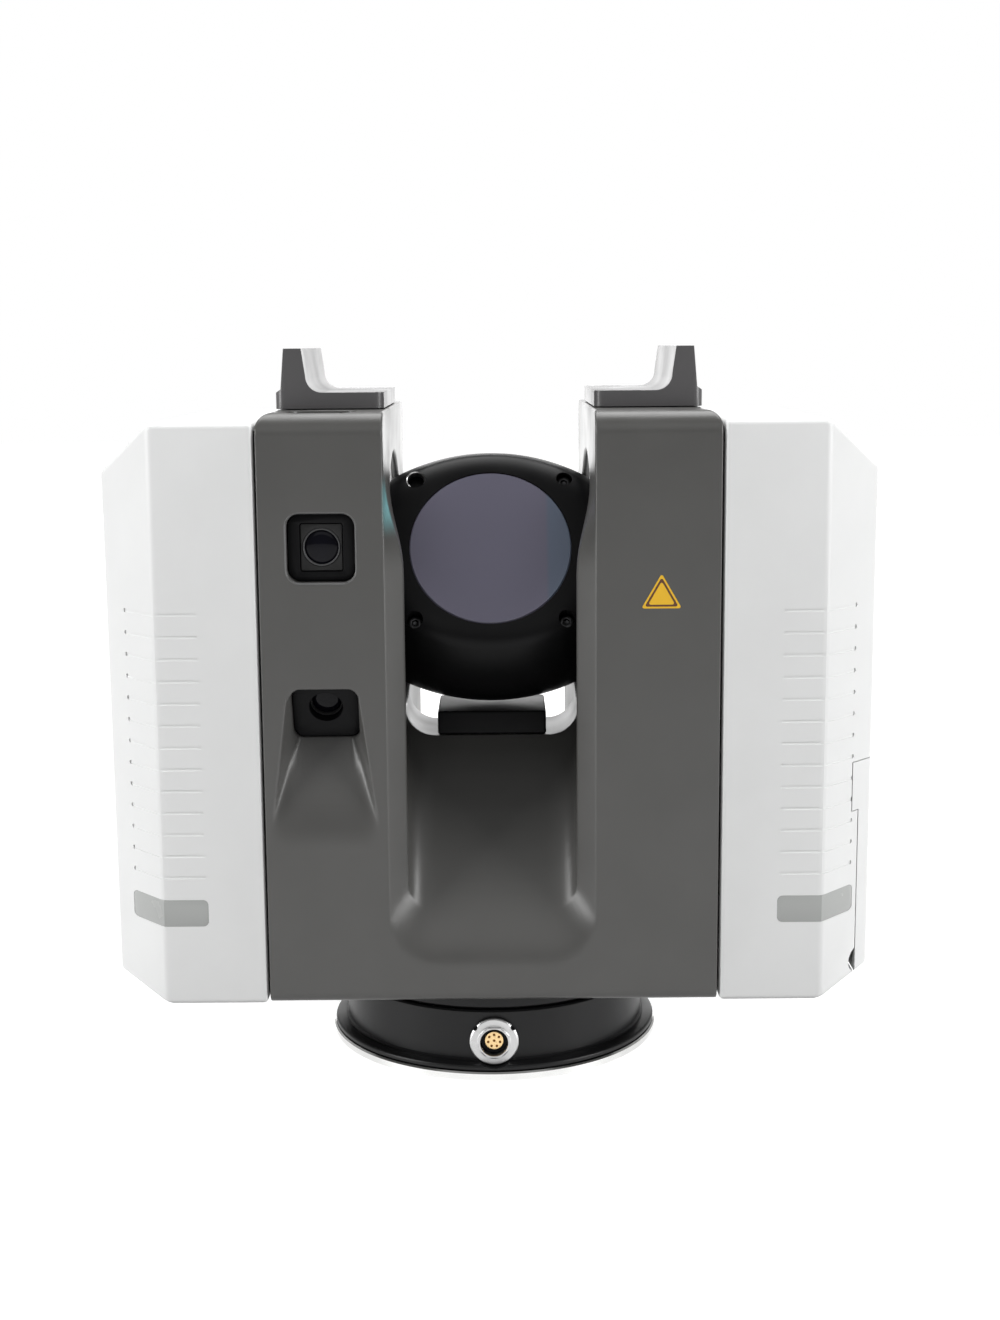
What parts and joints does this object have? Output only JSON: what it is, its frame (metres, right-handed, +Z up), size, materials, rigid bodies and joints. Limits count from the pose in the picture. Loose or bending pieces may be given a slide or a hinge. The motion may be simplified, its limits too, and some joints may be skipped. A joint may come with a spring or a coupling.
{
  "type": "terrestrial laser scanner",
  "caption": "Box-shaped surveying laser scanner: a body that turns on a round base, with a mirror rotor spinning between two uprights.",
  "frame": {"origin": "centre of the base's underside, on the vertical turning axis", "axes": "+X to the right seen from the front, +Y to the rear, +Z up; the rotor turns about an axis along X"},
  "size_m": [0.2422, 0.12, 0.23],
  "materials": {
    "dark_grey_paint": "matt dark grey paint on a casting",
    "dark_plastic": "matt",
    "black_anodised": "black anodised",
    "black_plastic": "matt",
    "white_plastic": "satin white",
    "grey_plastic": "satin",
    "grey_window": "smoked, see-through to infrared",
    "polished_steel": "polished",
    "steel": "machined",
    "chrome": "satin chrome",
    "aluminium": "machined",
    "brass": "gold-plated",
    "mirror": "front-coated",
    "coated_glass": "purple-grey anti-reflection coating",
    "teal_glass": "teal coating",
    "lens_glass": "polished",
    "encoder_glass": "polished",
    "screen_glass": "polished",
    "circuit_board": "green laminate",
    "battery_case": "matt",
    "yellow_label": "printed foil"
  },
  "bodies": {
    "base": {"base_ring": "polished_steel", "base_drum": "black_anodised", "azimuth_bearing": "steel", "socket_shell": "chrome", "socket_sleeve": "black_plastic", "socket_insert": "brass"},
    "base_catch": {"base_catch": "black_plastic"},
    "body": {"chassis": "dark_grey_paint", "neck_collar": "black_anodised", "azimuth_shaft": "steel", "azimuth_encoder_disc": "encoder_glass", "slip_ring": "black_plastic", "nadir_reference": "black_plastic", "warning_label": "yellow_label", "middle_camera": "black_plastic", "middle_camera_lens": "lens_glass", "lower_camera": "black_plastic", "lower_camera_lens": "lens_glass", "upper_camera": "black_plastic", "upper_camera_lens": "lens_glass", "laser_window": "teal_glass", "laser_unit": "aluminium", "motor_housing": "aluminium", "rotor_bearing_inner": "steel", "rotor_bearing_outer": "steel", "encoder_reader": "black_plastic", "left_cover": "white_plastic", "right_cover": "white_plastic", "front_left_window": "grey_window", "rear_left_window": "grey_window", "front_right_window": "grey_window", "rear_right_window": "grey_window", "screen_bezel": "black_plastic", "touch_screen": "screen_glass", "mainboard": "circuit_board", "battery_bay": "black_plastic", "battery_1": "battery_case", "battery_2": "battery_case", "door_hinge_pin": "steel", "left_handle": "dark_plastic", "right_handle": "dark_plastic"},
    "rotor": {"rotor_housing": "black_anodised", "rotor_window": "coated_glass", "scan_mirror": "mirror", "rotor_screw_1": "steel", "rotor_screw_2": "steel", "rotor_screw_3": "steel", "rotor_shaft": "steel", "motor_magnet": "steel", "rotor_encoder_disc": "encoder_glass"},
    "battery_door": {"battery_door": "white_plastic"},
    "door_latch": {"door_latch": "grey_plastic"},
    "power_button": {"power_button": "grey_plastic"}
  },
  "joints": [
    {"name": "azimuth_turn", "type": "hinge", "parent": "base", "child": "body", "pos_m": [0, 0, 0], "axis": [0, 0, 1], "continuous": true},
    {"name": "rotor_spin", "type": "hinge", "parent": "body", "child": "rotor", "pos_m": [0, 0, 0.1545], "axis": [1, 0, 0], "continuous": true},
    {"name": "battery_door_hinge", "type": "hinge", "parent": "body", "child": "battery_door", "pos_m": [0.1176, 0, 0.0362], "axis": [0, 1, 0], "range_deg": [0, 95]},
    {"name": "door_latch_slide", "type": "slide", "parent": "battery_door", "child": "door_latch", "axis": [0, 0, -1], "range_m": [0, 0.003], "stiffness_N_per_m": 300},
    {"name": "power_button_press", "type": "slide", "parent": "body", "child": "power_button", "axis": [1, 0, 0], "range_m": [0, 0.001], "stiffness_N_per_m": 500},
    {"name": "base_catch_press", "type": "slide", "parent": "base", "child": "base_catch", "axis": [1, 0, 0], "range_m": [0, 0.002], "stiffness_N_per_m": 500}
  ]
}
